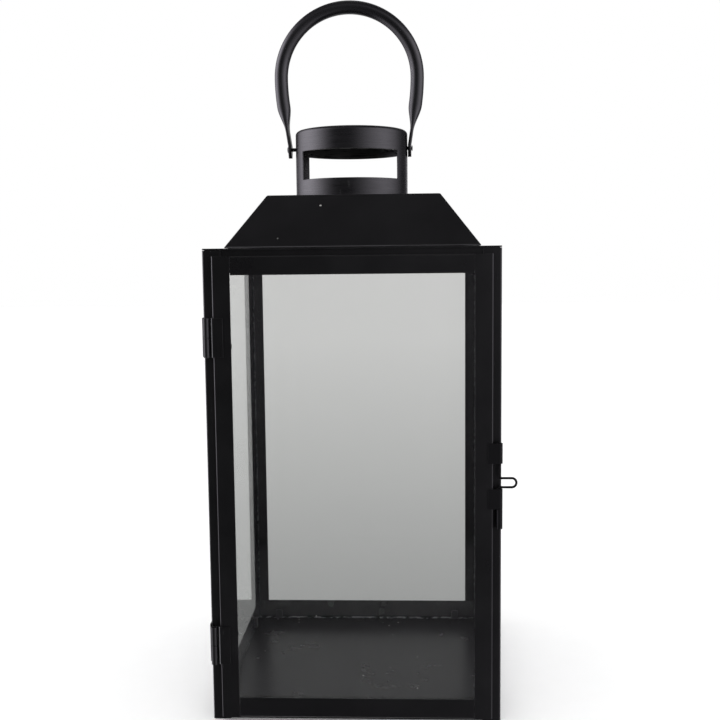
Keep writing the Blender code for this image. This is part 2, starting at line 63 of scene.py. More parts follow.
class Tree:
    """Small wrapper that adds and links shader nodes by name."""

    def __init__(self, tree):
        self.tree = tree
        self.nodes = tree.nodes
        self.links = tree.links

    def add(self, kind, inputs=None, **settings):
        node = self.nodes.new(kind)
        for key, value in settings.items():
            setattr(node, key, value)
        for key, value in (inputs or {}).items():
            self.put(node.inputs[key], value)
        return node

    def put(self, socket, value):
        if isinstance(value, bpy.types.NodeSocket):
            self.links.new(value, socket)
        else:
            socket.default_value = value

    def math(self, operation, a, b=0.0, clamp=False):
        node = self.add("ShaderNodeMath", {0: a, 1: b}, operation=operation, use_clamp=clamp)
        return node.outputs[0]

    def span(self, value, low, high, out_low=0.0, out_high=1.0):
        node = self.add("ShaderNodeMapRange", {"Value": value, "From Min": low, "From Max": high,
                                               "To Min": out_low, "To Max": out_high})
        return node.outputs[0]

    def ease(self, value, low, high, out_low=0.0, out_high=1.0):
        node = self.add("ShaderNodeMapRange", {"Value": value, "From Min": low, "From Max": high,
                                               "To Min": out_low, "To Max": out_high},
                        interpolation_type='SMOOTHSTEP')
        return node.outputs[0]

    def mix(self, factor, a, b):
        node = self.add("ShaderNodeMix", data_type='RGBA')
        self.put(node.inputs["Factor"], factor)
        self.put(node.inputs["A"], a)
        self.put(node.inputs["B"], b)
        return node.outputs["Result"]

    def noise(self, vector, scale, detail=2.0, roughness=0.5):
        node = self.add("ShaderNodeTexNoise", {"Vector": vector, "Scale": scale, "Detail": detail,
                                               "Roughness": roughness})
        return node.outputs["Fac"]

    def vector(self, operation, a, b, output="Vector"):
        return self.add("ShaderNodeVectorMath", {0: a, 1: b}, operation=operation).outputs[output]

    def split(self, vector):
        return self.add("ShaderNodeSeparateXYZ", {"Vector": vector}).outputs

    def channels(self, colour):
        return self.add("ShaderNodeSeparateColor", {"Color": colour}).outputs

    def stretched(self, vector, scale):
        node = self.add("ShaderNodeMapping", {"Vector": vector, "Scale": scale})
        return node.outputs["Vector"]


def new_material(name):
    mat = bpy.data.materials.new(name)
    mat.use_nodes = True
    tree = Tree(mat.node_tree)
    shader = mat.node_tree.nodes["Principled BSDF"]
    where = tree.add("ShaderNodeTexCoord").outputs["Object"]
    return mat, tree, shader, where


def rgb(r, g, b):
    return (r, g, b, 1.0)


def middle(node):
    low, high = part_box(node)
    return (low + high) / 2


def paint(name, colour, roughness, grain=1.0, dust=0.0, streak=0.0, wear=0.35, specular=0.5, scuffs=0.25,
          uneven=1.0, dust_and_painted_light=None):
    """Sprayed satin black: fine orange peel, uneven gloss, a little dust and rubbed edges.

    An overlay function, called with (tree, shade), can lay dust and painted light (painted highlights,
    reflections and shade) over chosen places of a piece that never moves."""
    mat, t, shader, where = new_material(name)
    patches = t.noise(where, 14.0, 4.0, 0.55)
    cloud = t.noise(where, 55.0, 3.0, 0.6)
    fine = t.noise(where, 1500.0, 2.0, 0.6)
    peel = t.noise(where, 420.0, 2.0, 0.5)

    edge = t.add("ShaderNodeBevel", {"Radius": 0.0006}, samples=4).outputs["Normal"]
    flat = t.add("ShaderNodeNewGeometry").outputs["Normal"]
    facing = t.vector('DOT_PRODUCT', edge, flat, "Value")
    rubbed = t.span(facing, 0.985, 0.90)
    rubbed = t.math('MULTIPLY', rubbed, t.span(cloud, 0.42, 0.62))
    rubbed = t.math('MULTIPLY', rubbed, wear, clamp=True)

    wear_and_highlight = tuple(min(1.0, c * 4.0 + 0.030) for c in colour)
    shade = t.mix(t.span(patches, 0.3, 0.7), rgb(*(c * 0.86 for c in colour)), rgb(*(c * 1.16 for c in colour)))
    shade = t.mix(rubbed, shade, rgb(*wear_and_highlight))

    cells = t.add("ShaderNodeTexVoronoi", {"Vector": where, "Scale": 90.0}, feature='F1')
    draw = t.channels(cells.outputs["Color"])
    speck = t.math('LESS_THAN', cells.outputs["Distance"], t.math('MULTIPLY', draw["Green"], 0.075))
    chosen = t.math('GREATER_THAN', draw["Red"], 0.90)
    speck = t.math('MULTIPLY', t.math('MULTIPLY', speck, chosen), dust, clamp=True)
    shade = t.mix(speck, shade, rgb(0.55, 0.54, 0.52))

    lines = t.noise(t.stretched(where, (60.0, 60.0, 1400.0)), 1.0, 2.0, 0.6)
    scratch_field = t.noise(t.stretched(where, (240.0, 90.0, 60.0)), 1.0, 2.0, 0.4)
    scratch = t.math('MULTIPLY', t.span(scratch_field, 0.735, 0.76), t.span(patches, 0.5, 0.62))
    scratch = t.math('MULTIPLY', scratch, scuffs, clamp=True)
    shade = t.mix(scratch, shade, rgb(0.05, 0.05, 0.052))
    if dust_and_painted_light is not None:
        shade = dust_and_painted_light(t, shade)
    t.put(shader.inputs["Base Color"], shade)

    gloss = t.math('ADD', roughness, t.span(patches, 0.25, 0.75, -0.05 * uneven, 0.05 * uneven))
    gloss = t.math('ADD', gloss, t.span(cloud, 0.3, 0.7, -0.03 * uneven, 0.03 * uneven))
    gloss = t.math('ADD', gloss, t.math('MULTIPLY', t.span(lines, 0.3, 0.7, -0.07, 0.07), streak))
    gloss = t.math('ADD', gloss, t.math('MULTIPLY', speck, 0.3))
    gloss = t.math('SUBTRACT', gloss, t.math('MULTIPLY', rubbed, 0.10), clamp=True)
    t.put(shader.inputs["Roughness"], gloss)

    height = t.math('ADD', t.math('MULTIPLY', fine, 0.45 * grain), t.math('MULTIPLY', peel, 0.9 * grain))
    height = t.math('ADD', height, t.math('MULTIPLY', lines, 0.12 * streak))
    height = t.math('ADD', height, t.math('MULTIPLY', speck, 1.2))
    bump = t.add("ShaderNodeBump", {"Strength": 0.32, "Distance": 0.00006, "Height": height})
    t.put(shader.inputs["Normal"], bump.outputs["Normal"])
    shader.inputs["Specular IOR Level"].default_value = specular
    return mat


def position(t):
    """World position, whole and by axis: only for pieces of the frame body, which never moves."""
    spot = t.add("ShaderNodeNewGeometry").outputs["Position"]
    return spot, t.split(spot)


def inner_side(t, axes, reach):
    """1 on faces that lie inside the box wall at this distance from the centre line."""
    far = t.math('MAXIMUM', t.math('ABSOLUTE', axes["X"]), t.math('ABSOLUTE', axes["Y"]))
    return t.math('LESS_THAN', far, reach)


def pan_painted_light_and_crumbs(t, shade):
    """Painted light in the pan: a lighter colour on its inner walls and a bright line of painted glints along
    the back fold; crumbs on its floor, with finer specks crowding towards the back fold as painted glints.
    """
    spot, axes = position(t)
    # painted light: a lighter colour on the pan's inner walls, standing in for light that falls inside the pan
    wall = t.math('MULTIPLY', t.ease(axes["Z"], 1.2 * MM, 4.0 * MM), inner_side(t, axes, 98.5 * MM))
    mottle = t.noise(spot, 160.0, 4.0, 0.6)
    wall = t.math('MULTIPLY', wall, t.span(mottle, 0.3, 0.7, 0.8, 1.0))
    shade = t.mix(wall, shade, rgb(0.0760, 0.0750, 0.0760))
    # painted glints: a bright line along the back fold of the pan floor
    fold = t.math('MULTIPLY', t.ease(axes["Y"], 95.6 * MM, 97.4 * MM), t.ease(axes["Z"], 2.6 * MM, 1.4 * MM))
    fold = t.math('MULTIPLY', fold, t.span(t.noise(spot, 95.0, 3.0, 0.6), 0.42, 0.60))
    fold = t.math('MULTIPLY', fold, inner_side(t, axes, 98.5 * MM), clamp=True)
    shade = t.mix(fold, shade, rgb(0.300, 0.296, 0.300))
    # crumbs on the floor; the finer specks crowd towards the back fold, where they are painted glints
    for scale, share, limit in ((48.0, 0.16, 0.040), (150.0, 0.10, 0.085)):
        cells = t.add("ShaderNodeTexVoronoi", {"Vector": spot, "Scale": scale}, feature='F1',
                      voronoi_dimensions='2D')
        draw = t.channels(cells.outputs["Color"])
        crumb = t.math('LESS_THAN', cells.outputs["Distance"], t.math('MULTIPLY', draw["Green"], limit))
        crowd = share if scale < 100.0 else t.ease(axes["Y"], 70.0 * MM, 96.0 * MM, 0.0, share * 4.0)
        crumb = t.math('MULTIPLY', crumb, t.math('LESS_THAN', draw["Red"], crowd))
        crumb = t.math('MULTIPLY', crumb, t.math('LESS_THAN', axes["Z"], 3.0 * MM))
        crumb = t.math('MULTIPLY', crumb, inner_side(t, axes, 98.5 * MM))
        shade = t.mix(crumb, shade, rgb(0.42, 0.41, 0.40))
    return shade


def post_tones_and_painted_reflection(t, shade):
    """Lighter colour on the lower inner faces of the back posts, and a painted reflection, a warm lighter tint,
    towards their tops.
    """
    spot, axes = position(t)
    low = t.math('MULTIPLY', t.ease(axes["Z"], 78.0 * MM, 56.0 * MM), inner_side(t, axes, 99.6 * MM))
    shade = t.mix(t.math('MULTIPLY', low, 0.9), shade, rgb(0.0350, 0.0345, 0.0350))
    # painted reflection: a warm lighter tint towards the tops of the back posts
    return t.mix(t.ease(axes["Z"], 240.0 * MM, 300.0 * MM, 0.0, 0.2), shade, rgb(0.0150, 0.0140, 0.0130))


def hood_painted_highlights(t, shade):
    """Painted highlight along the hood's lower edge, and near its front left corner a small pit drawn only in
    colour: painted shade round a painted glint.
    """
    spot, axes = position(t)
    # painted highlight: a lighter line along the hood's lower edge
    edge = t.ease(axes["Z"], hood_edge + 1.15 * MM, hood_edge + 0.55 * MM)
    patchy = t.noise(t.stretched(spot, (26.0, 26.0, 4.0)), 1.0, 3.0, 0.6)
    edge = t.math('MULTIPLY', edge, t.span(patchy, 0.35, 0.65, 0.55, 1.0))
    shade = t.mix(edge, shade, rgb(0.058, 0.057, 0.061))
    # the pit: a painted shade ring, then a painted glint at its centre
    reach = t.vector('DISTANCE', spot, hood_pit_glint, "Value")
    shade = t.mix(t.ease(reach, 1.7 * MM, 1.2 * MM, 0.0, 0.7), shade, rgb(0.0015, 0.0015, 0.0015))
    return t.mix(t.ease(reach, 0.75 * MM, 0.45 * MM), shade, rgb(0.10, 0.10, 0.10))


def crown_painted_inner_light(t, shade):
    """Lighter paint on the crown's inner faces, which face its axis or downwards: painted light inside the
    crown.
    """
    spot, _ = position(t)
    facing = t.add("ShaderNodeNewGeometry").outputs["Normal"]
    outward = t.vector('MULTIPLY', t.vector('SUBTRACT', spot, middle("vent_crown")), LEVEL)
    across = t.vector('DOT_PRODUCT', outward, facing, "Value")
    down = t.split(facing)["Z"]
    # painted light: inner faces and faces turned downwards get a lighter colour
    inside = t.math('MAXIMUM', t.math('LESS_THAN', across, -5.0 * MM), t.math('LESS_THAN', down, -0.5))
    return t.mix(inside, shade, rgb(0.0165, 0.0162, 0.0150))


def pane_material(name, top, bottom):
    """Slightly grey green float glass, a little darker towards the bottom: painted shade standing in for a
    backdrop that darkens towards the floor, with faint random variation.
    """
    mat, t, shader, where = new_material(name)
    height = t.split(where)["Z"]
    # painted shade: the glass colour darkens a little towards the bottom
    dust_and_painted_light = t.span(height, 0.0, 0.32)
    wipe = t.noise(t.stretched(where, (7.0, 7.0, 3.0)), 1.0, 3.0, 0.55)
    dust_and_painted_light = t.math('ADD', dust_and_painted_light, t.span(wipe, 0.3, 0.7, -0.05, 0.05), clamp=True)
    shade = t.mix(dust_and_painted_light, rgb(*bottom), rgb(*top))
    t.put(shader.inputs["Base Color"], shade)
    shader.inputs["Transmission Weight"].default_value = 1.0
    shader.inputs["IOR"].default_value = 1.5
    smear = t.noise(t.stretched(where, (30.0, 30.0, 12.0)), 1.0, 4.0, 0.6)
    t.put(shader.inputs["Roughness"], t.span(smear, 0.62, 0.85, 0.0, 0.010))
    return mat


def pane_edge_material():
    """Ground edge of the panes: the deep green that float glass shows side on."""
    mat, t, shader, where = new_material("glass_edge_green")
    mottle = t.noise(where, 260.0, 3.0, 0.6)
    shade = t.mix(mottle, rgb(0.045, 0.066, 0.056), rgb(0.100, 0.130, 0.114))
    t.put(shader.inputs["Base Color"], shade)
    t.put(shader.inputs["Roughness"], t.span(mottle, 0.3, 0.7, 0.18, 0.34))
    shader.inputs["Transmission Weight"].default_value = 0.45
    shader.inputs["IOR"].default_value = 1.5
    bump = t.add("ShaderNodeBump", {"Strength": 0.25, "Distance": 0.0001, "Height": t.noise(where, 900.0)})
    t.put(shader.inputs["Normal"], bump.outputs["Normal"])
    return mat


body_paint = paint("body_paint_satin_black", (0.0028, 0.0028, 0.0033), 0.32, dust=0.25)
post_paint = paint("back_post_paint_satin_black", (0.0036, 0.0035, 0.0036), 0.36, dust=0.25,
                   specular=0.38, dust_and_painted_light=post_tones_and_painted_reflection)
hood_paint = paint("hood_paint_satin_black", (0.0029, 0.0027, 0.0035), 0.40, dust=0.5, specular=0.42,
                   dust_and_painted_light=hood_painted_highlights)
floor_paint = paint("pan_paint_satin_black", (0.0080, 0.0080, 0.0081), 0.27, scuffs=0.0, uneven=0.1, wear=0.0,
                    grain=0.3, dust_and_painted_light=pan_painted_light_and_crumbs)
crown_paint = paint("crown_paint_satin_black", (0.0048, 0.0046, 0.0057), 0.29, streak=1.0, dust=0.3, grain=0.4,
                    dust_and_painted_light=crown_painted_inner_light)
handle_paint = paint("handle_paint_satin_black", (0.0062, 0.0060, 0.0072), 0.27, grain=0.5, dust=0.2, wear=0.4)
hardware = paint("blackened_steel", (0.0034, 0.0034, 0.0038), 0.30, grain=0.5, wear=0.3, specular=0.40)
latch_black = paint("latch_strap_black", (0.0040, 0.0039, 0.0046), 0.40, grain=0.5, wear=0.15, specular=0.15)
wire_paint = paint("latch_wire_black", (0.0026, 0.0026, 0.0028), 0.46, grain=0.4, wear=0.1, specular=0.12)
tab_paint = paint("inside_tab_black", (0.0360, 0.0360, 0.0370), 0.42, wear=0.8)
pane = pane_material("pane_glass", (0.905, 0.907, 0.900), (0.895, 0.905, 0.898))
pane_edge = pane_edge_material()

# ---------------------------------------------------------------- mesh helpers


def set_material(obj, *mats):
    obj.data.materials.clear()
    for mat in mats:
        obj.data.materials.append(mat)


def finish_sheet(obj, width=0.22 * MM, segments=2, weld=True):
    """Close the split vertices of an imported sheet piece and give its cut edges a small round."""
    if weld:
        obj.data.shade_smooth()
        obj.data.set_sharp_from_angle(angle=math.radians(32))
        mod = obj.modifiers.new("Weld", 'WELD')
        mod.merge_threshold = 1e-6
    mod = obj.modifiers.new("Edge round", 'BEVEL')
    mod.width = width
    mod.segments = segments
    mod.limit_method = 'ANGLE'
    mod.angle_limit = math.radians(40)
    mod = obj.modifiers.new("Flat faces", 'WEIGHTED_NORMAL')
    mod.mode = 'FACE_AREA'
    mod.weight = 100
    mod.keep_sharp = True


def mesh_piece(name, bm, body, mats, replaced=(), smooth=True, angle=35):
    bmesh.ops.recalc_face_normals(bm, faces=bm.faces)
    mesh = bpy.data.meshes.new(name)
    bm.to_mesh(mesh)
    bm.free()
    obj = bpy.data.objects.new(name, mesh)
    scene.collection.objects.link(obj)
    for mat in mats:
        mesh.materials.append(mat)
    if smooth:
        mesh.shade_smooth()
        mesh.set_sharp_from_angle(angle=math.radians(angle))
    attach(obj, body)
    if replaced:
        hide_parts(*replaced)
    return obj


def grid_faces(bm, rows, closed=False, keep=None):
    """Quads between rows of vertices; keep(i, j) can leave some out."""
    for i in range(len(rows) - 1):
        count = len(rows[i])
        for j in range(count if closed else count - 1):
            if keep is not None and not keep(i, j):
                continue
            k = (j + 1) % count
            bm.faces.new((rows[i][j], rows[i][k], rows[i + 1][k], rows[i + 1][j]))


# ---------------------------------------------------------------- glass panes


def glass_piece(node, body):
    low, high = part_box(node)
    bm = bmesh.new()
    bmesh.ops.create_cube(bm, size=1.0)
    bmesh.ops.scale(bm, vec=high - low, verts=bm.verts)
    bmesh.ops.translate(bm, vec=(high + low) / 2, verts=bm.verts)
    bmesh.ops.bevel(bm, geom=list(bm.edges), offset=0.25 * MM, segments=2, affect='EDGES', profile=0.5)
    size = high - low
    thin = min(range(3), key=lambda a: size[a])
    for face in bm.faces:
        face.material_index = 0 if abs(face.normal[thin]) > 0.9 else 1
    obj = mesh_piece(node + "_pane", bm, body, (pane, pane_edge), (node,), smooth=False)
    obj.visible_shadow = False
    return obj


for node, body in (("glass_back", "frame"), ("glass_left", "frame"), ("glass_right", "frame"),
                   ("door_glass", "door")):
    glass_piece(node, body)

# ---------------------------------------------------------------- vent crown

crown_low_corner, crown_high_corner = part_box("vent_crown")
crown_x = (crown_low_corner.x + crown_high_corner.x) / 2
crown_low = crown_low_corner.z
crown_top = crown_high_corner.z
crown_wall = 1.0 * MM
crown_flare = (crown_high_corner.x - crown_low_corner.x) / 2    # radius of the turned-out foot
crown_radius = crown_flare - 0.9 * MM
window_low = crown_low + 13.0 * MM
window_high = crown_low + 33.5 * MM
window_half = 35.0 * MM
window_angle = math.asin(window_half / crown_radius)
crown_corner = 3.0 * MM


def crown_piece():
    profile = [(crown_flare, crown_low + 0.02 * MM), (crown_radius + 0.42 * MM, crown_low + 0.45 * MM),
               (crown_radius + 0.08 * MM, crown_low + 1.0 * MM), (crown_radius, crown_low + 1.8 * MM)]
    profile += [(crown_radius, window_low - 1.0 * MM), (crown_radius, window_low)]
    profile += [(crown_radius, window_high), (crown_radius, window_high + 1.0 * MM)]
    for k in range(9):
        a = k / 8 * math.pi / 2
        profile.append((crown_radius - crown_corner + crown_corner * math.cos(a),
                        crown_top - crown_corner + crown_corner * math.sin(a)))
    profile += [(r * MM, crown_top) for r in (34.0, 26.0, 18.0, 10.0, 3.0)]
    # angles that fall exactly on the window jambs, front and back
    posts = 22
    arcs = 44
    angles = []
    for centre in (-math.pi / 2, math.pi / 2):
        angles += [centre - window_angle + 2 * window_angle * k / arcs for k in range(arcs)]
        start = centre + window_angle
        gap = math.pi - 2 * window_angle
        angles += [start + gap * k / posts for k in range(posts)]
    bm = bmesh.new()
    rows = []
    for radius, z in profile:
        rows.append([bm.verts.new((crown_x + radius * math.cos(a), radius * math.sin(a), z)) for a in angles])
    window_row = 5

    def keep(i, j):
        return not (i == window_row and j % (arcs + posts) < arcs)

    grid_faces(bm, rows, closed=True, keep=keep)
    bm.faces.new(rows[-1])
    obj = mesh_piece("vent_crown_cup", bm, "frame", (crown_paint,), ("vent_crown",),
                     angle=50)
    mod = obj.modifiers.new("Wall", 'SOLIDIFY')
    mod.thickness = crown_wall
    mod.offset = -1.0
    mod.use_even_offset = True
    finish_sheet(obj, 0.25 * MM, 2, weld=False)
    return obj


crown_piece()

# ---------------------------------------------------------------- bail handle

handle_low, handle_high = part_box("handle_bail")
handle_x = (handle_low.x + handle_high.x) / 2
pivot = Vector((handle_x, 0.0, joints["handle_swing"]["pos_m"][2]))
tube_radius = 5.0 * MM
handle_radius = (handle_high.x - handle_low.x) / 2 - tube_radius
handle_centre_z = handle_high.z - tube_radius - handle_radius
strap_thick = 1.3 * MM
strap_wide = 6.5 * MM
leg_bottom_z = 431.0 * MM
leg_inset = 1.95 * MM
strap_slope = 0.15
strap_straight_z = 404.0 * MM
pinch_low = 415.0 * MM      # the tube is flattened between these heights
pinch_high = 434.0 * MM


def smooth(t):
    t = max(0.0, min(1.0, t))
    return t * t * (3 - 2 * t)


def leg_offset(z):
    if z >= leg_bottom_z:
        return handle_radius - leg_inset * ((handle_centre_z - z) / (handle_centre_z - leg_bottom_z)) ** 2
    return handle_radius - leg_inset - strap_slope * (leg_bottom_z - max(z, strap_straight_z))


def handle_piece():
    end_z = pivot.z - strap_wide + 0.12 * MM
    heights = [end_z + (pivot.z - end_z) * (1 - math.cos(k / 14 * math.pi / 2)) for k in range(14)]
    heights += [pivot.z + k * MM for k in range(0, 53)]
    rows = []
    for z in heights:
        pinch = smooth((z - pinch_low) / (pinch_high - pinch_low))
        thick = strap_thick + (tube_radius - strap_thick) * pinch
        wide = strap_wide + (tube_radius - strap_wide) * pinch
        if z < pivot.z:
            wide = math.sqrt(max(strap_wide ** 2 - (pivot.z - z) ** 2, (1.2 * MM) ** 2))
        rows.append((leg_offset(z), z, thick, wide, 1 - pinch))
    for k in range(1, 41):
        a = k / 40 * math.pi / 2
        rows.append((handle_radius * math.cos(a), handle_centre_z + handle_radius * math.sin(a),
                     tube_radius, tube_radius, 0.0))
    rows = rows + [(-u, z, a, b, f) for u, z, a, b, f in reversed(rows[:-1])]
    around = 40
    bm = bmesh.new()
    rings = []
    for k, (u, z, thick, wide, flat) in enumerate(rows):
        before = rows[max(k - 1, 0)]
        after = rows[min(k + 1, len(rows) - 1)]
        tangent = Vector((after[0] - before[0], 0.0, after[1] - before[1])).normalized()
        normal = Vector((tangent.z, 0.0, -tangent.x))
        power = 1.0 - 0.55 * flat
        ring = []
        for j in range(around):
            a = 2 * math.pi * j / around
            c = math.copysign(abs(math.cos(a)) ** power, math.cos(a))
            s = math.copysign(abs(math.sin(a)) ** power, math.sin(a))
            ring.append(bm.verts.new(Vector((handle_x + u, 0.0, z)) + normal * (thick * c)
                                     + Vector((0.0, wide * s, 0.0))))
        rings.append(ring)
    grid_faces(bm, rings, closed=True)
    bm.faces.new(list(reversed(rings[0])))
    bm.faces.new(rings[-1])
    obj = mesh_piece("handle_bail_tube", bm, "handle", (handle_paint,), ("handle_bail",),
                     angle=60)
    return obj


handle_piece()

# ---------------------------------------------------------------- rolled sheet hardware


def bend_highlight(corner, near, far):
    """Painted highlight along one upright bend of a strip, at this x and y: a lighter colour in place of the
    light its rounded corner catches.
    """

    def dust_and_painted_light(t, shade):
        where = t.add("ShaderNodeTexCoord").outputs["Object"]
        reach = t.vector('DISTANCE', t.vector('MULTIPLY', where, LEVEL), (*corner, 0.0), "Value")
        # painted highlight mask along the bend
        wear_and_highlight = t.math('MULTIPLY', t.ease(reach, far, near),
                      t.span(t.noise(where, 220.0, 3.0, 0.6), 0.3, 0.6, 0.75, 1.0))
        return t.mix(wear_and_highlight, shade, rgb(0.185, 0.182, 0.195))

    return dust_and_painted_light


def rolled_strip(name, body, replaced, path, low, high, cuts, thickness, mats=(hardware,)):
    """Sheet strip bent along a line of points (x, y), between two heights.

    cuts maps a point index to the height span that is left from that point on."""
    bm = bmesh.new()
    levels = sorted({low, high, *[v for span in cuts.values() for v in span]})
    rows = []
    for x, y in path:
        rows.append([bm.verts.new((x, y, z)) for z in levels])
    spans = []
    span = (low, high)
    for i in range(len(path)):
        span = cuts.get(i, span)
        spans.append(span)

    def keep(i, j):
        a, b = spans[i]
        return levels[j] >= a - 1e-7 and levels[j + 1] <= b + 1e-7

    grid_faces(bm, rows, keep=keep)
    loose = [v for v in bm.verts if not v.link_faces]
    bmesh.ops.delete(bm, geom=loose, context='VERTS')
    obj = mesh_piece(name, bm, body, mats, replaced, angle=40)
    mod = obj.modifiers.new("Sheet", 'SOLIDIFY')
    mod.thickness = thickness
    mod.offset = 0.0
    mod.use_even_offset = True
    finish_sheet(obj, 0.12 * MM, 2, weld=False)
    return obj


def curl(centre, radius, start, end, steps=26):
    return [(centre[0] + radius * math.cos(start + (end - start) * k / steps),
             centre[1] + radius * math.sin(start + (end - start) * k / steps)) for k in range(steps + 1)]


leaf = 0.6 * MM
barrel = 2.1 * MM
roll = barrel - leaf / 2
half_body = 100.0 * MM
gap = 0.3 * MM


def between(start, end, steps):
    """Points after start, up to and including end, evenly spaced."""
    return [(start[0] + (end[0] - start[0]) * k / steps, start[1] + (end[1] - start[1]) * k / steps)
            for k in range(1, steps + 1)]


def rounded_path(corners, radius=0.45 * MM, steps=4):
    """Open path through the corner points with every inner corner rounded."""
    path = [corners[0]]
    for before, corner, after in zip(corners, corners[1:], corners[2:]):
        a = Vector(before) - Vector(corner)
        b = Vector(after) - Vector(corner)
        reach = min(radius, a.length * 0.45, b.length * 0.45)
        start = Vector(corner) + a.normalized() * reach
        end = Vector(corner) + b.normalized() * reach
        for k in range(steps + 1):
            t = k / steps
            path.append(tuple(start * (1 - t) ** 2 + Vector(corner) * (2 * t * (1 - t)) + end * t ** 2))
    path.append(corners[-1])
    return path


stile_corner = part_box("door_stile_left")[0]
leaf_corner = (stile_corner.x - gap - leaf, stile_corner.y - gap - leaf)
# painted highlight: the door leaf's rounded return corner gets a lighter colour in place of the light it
# catches
hinge_painted_highlight = paint("hinge_leaf_rubbed", (0.0034, 0.0034, 0.0038), 0.30, grain=0.5, wear=0.2, specular=0.40,
                  dust_and_painted_light=bend_highlight(leaf_corner, 0.45 * MM, 0.95 * MM))
for word in ("upper", "lower"):
    low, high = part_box("hinge_frame_leaf_" + word)
    mid = (low.z + high.z) / 2
    # frame leaf: along the post's side, across its front, forward to the barrel, round the pin
    side_x = low.x + leaf / 2
    front_y = -half_body - gap - leaf / 2
    web_x = hinge_x - roll
    flat = rounded_path([(side_x, -90.0 * MM), (side_x, front_y), (web_x, front_y),
                         (web_x, hinge_y + barrel + 0.5 * MM)])
    path = flat + between(flat[-1], (web_x, hinge_y + 0.05 * MM), 3)
    path += curl((hinge_x, hinge_y), roll, math.pi, math.pi + 5.6)
    rolled_strip("hinge_leaf_frame_" + word, "frame", ("hinge_frame_leaf_" + word,), path, low.z, high.z,
                 {len(flat) - 1: (low.z, mid - 0.15 * MM)}, leaf)
    # door leaf: plate on the door, round its edge, step back, round the pin
    d_low, d_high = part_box("hinge_door_leaf_" + word)
    door_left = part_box("door_stile_left")[0].x
    plate_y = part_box("door_stile_left")[0].y - gap - leaf / 2
    return_x = door_left - gap - leaf / 2
    step_y = hinge_y + roll
    flat = rounded_path([(d_high.x, plate_y), (return_x, plate_y), (return_x, step_y),
                         (hinge_x + barrel + 0.35 * MM, step_y)], radius=0.7 * MM)
    path = flat + between(flat[-1], (hinge_x + 0.05 * MM, step_y), 3)
    path += curl((hinge_x, hinge_y), roll, math.pi / 2, math.pi / 2 + 5.6)
    rolled_strip("hinge_leaf_door_" + word, "door", ("hinge_door_leaf_" + word,), path, d_low.z, d_high.z,
                 {len(flat) - 1: (mid + 0.15 * MM, d_high.z)}, leaf, (hinge_painted_highlight,))

bolt_low, bolt_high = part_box("latch_bolt")
wire_radius = 0.8 * MM
latch_x = bolt_low.x + wire_radius
latch_y = (bolt_low.y + bolt_high.y) / 2
door_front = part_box("door_stile_right")[0].y
strap_y = door_front - 0.3 * MM - leaf / 2
for word in ("upper", "lower"):
    low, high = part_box("latch_guide_" + word)
    path = [(90.5 * MM, strap_y), (92.5 * MM, strap_y), (95.5 * MM, strap_y)]
    path += curl((latch_x, latch_y), roll, -math.pi / 2, -math.pi / 2 + 5.6)
    rolled_strip("latch_strap_" + word, "door", ("latch_guide_" + word,), path, low.z, high.z, {}, leaf,
                 (latch_black,))
low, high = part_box("latch_keeper")
side_x = high.x - leaf / 2
leaf_y = high.y - leaf / 2
path = rounded_path([(low.x, leaf_y), (side_x, leaf_y), (side_x, latch_y + 0.05 * MM)])
path += curl((latch_x, latch_y), roll, 0.0, -5.6)
rolled_strip("latch_keeper_strap", "frame", ("latch_keeper",), path, low.z, high.z, {}, leaf, (latch_black,))

# ---------------------------------------------------------------- latch bolt wire

loop_arm_high = bolt_low.z + 27.9 * MM
loop_arm_low = bolt_low.z + 21.7 * MM
loop_reach = bolt_high.x - wire_radius


def bend(points, corner, first, second, radius, steps=8):
    start = corner - first * radius
    for k in range(steps + 1):
        a = k / steps * math.pi / 2
        points.append(start + first * (radius * math.sin(a)) + second * (radius * (1 - math.cos(a))))


def wire_mesh(bm, points, radius, around=16):
    rings = []
    side = Vector((0.0, 1.0, 0.0))
    for k, spot in enumerate(points):
        before = points[max(k - 1, 0)]
        after = points[min(k + 1, len(points) - 1)]
        tangent = (after - before).normalized()
        across = side.cross(tangent).normalized()
        ends = min(k, len(points) - 1 - k)
        thin = radius * (0.72 if ends == 0 else 1.0)
        turns = [2 * math.pi * j / around for j in range(around)]
        rings.append([bm.verts.new(spot + across * (thin * math.cos(a)) + side * (thin * math.sin(a)))
                      for a in turns])
    grid_faces(bm, rings, closed=True)
    bm.faces.new(list(reversed(rings[0])))
    bm.faces.new(rings[-1])


down = Vector((0.0, 0.0, -1.0))
out = Vector((1.0, 0.0, 0.0))
points = [Vector((latch_x, latch_y, bolt_high.z)), Vector((latch_x, latch_y, bolt_high.z - 0.25 * MM))]
bend(points, Vector((latch_x, latch_y, loop_arm_high)), down, out, 1.4 * MM)
loop_radius = (loop_arm_high - loop_arm_low) / 2
loop_centre = Vector((loop_reach - loop_radius, latch_y, (loop_arm_high + loop_arm_low) / 2))
for k in range(21):
    a = math.pi / 2 - k / 20 * math.pi
    points.append(loop_centre + Vector((loop_radius * math.cos(a), 0.0, loop_radius * math.sin(a))))
bend(points, Vector((latch_x, latch_y, loop_arm_low)), -out, down, 1.0 * MM)
points += [Vector((latch_x, latch_y, bolt_low.z + 0.25 * MM)), Vector((latch_x, latch_y, bolt_low.z))]
bm = bmesh.new()
wire_mesh(bm, points, wire_radius)
mesh_piece("latch_bolt_wire", bm, "latch_bolt", (wire_paint,), ("latch_bolt",), angle=50)

